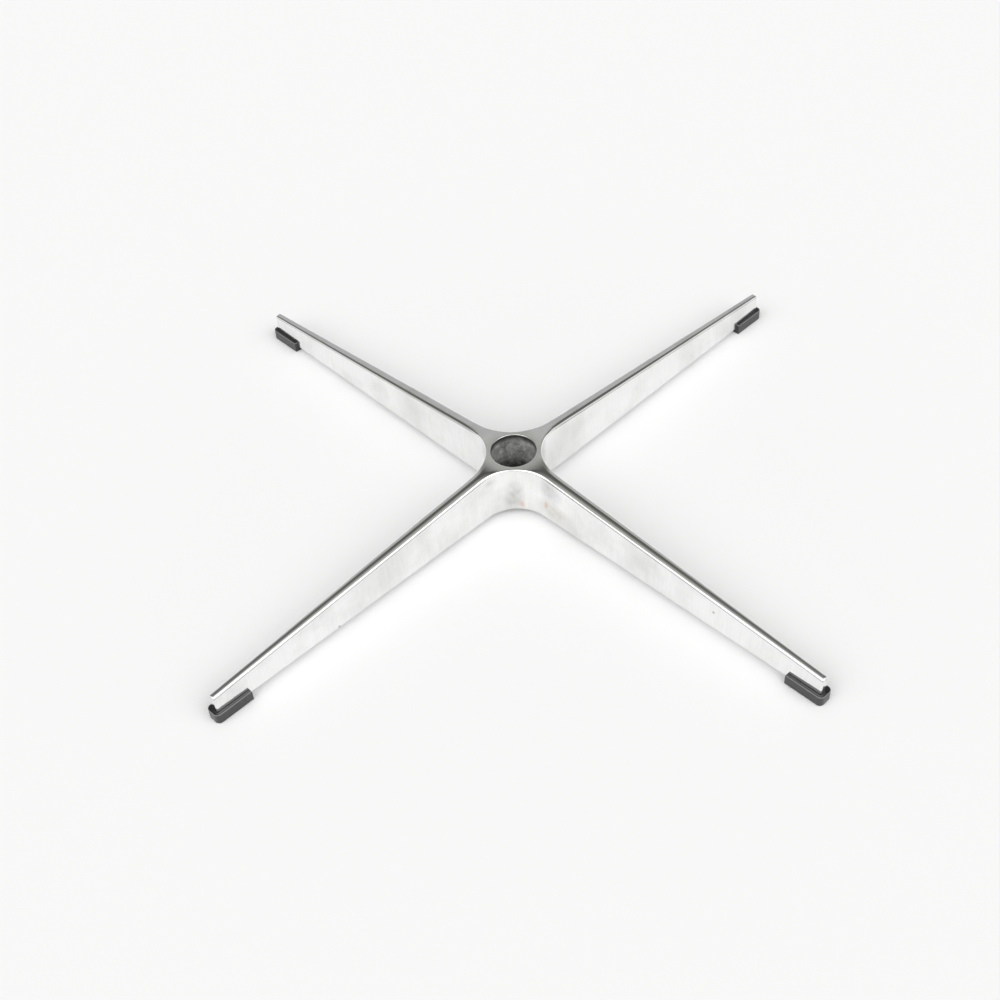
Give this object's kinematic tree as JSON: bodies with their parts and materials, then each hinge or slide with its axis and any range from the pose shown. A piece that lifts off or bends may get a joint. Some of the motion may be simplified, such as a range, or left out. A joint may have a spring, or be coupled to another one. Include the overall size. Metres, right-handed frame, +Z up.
{
  "type": "four star table base",
  "caption": "Low cast star base for a pedestal table: slim tapered arms round a hub bored for a column, with moulded glide boots on the arm tips.",
  "frame": {"origin": "on the floor under the hub, on the axis of the column's bore", "axes": "+Z up along the bore's axis, +X and +Y each along an arm"},
  "size_m": [0.6376, 0.6376, 0.05],
  "materials": {
    "polished_aluminium": "cast and polished, with the bore left rough as cast",
    "black_nylon": "moulded, fine matt grain"
  },
  "bodies": {
    "root": {"star_base": "polished_aluminium", "glide_boot_east": "black_nylon", "glide_boot_north": "black_nylon", "glide_boot_west": "black_nylon", "glide_boot_south": "black_nylon"}
  },
  "joints": []
}
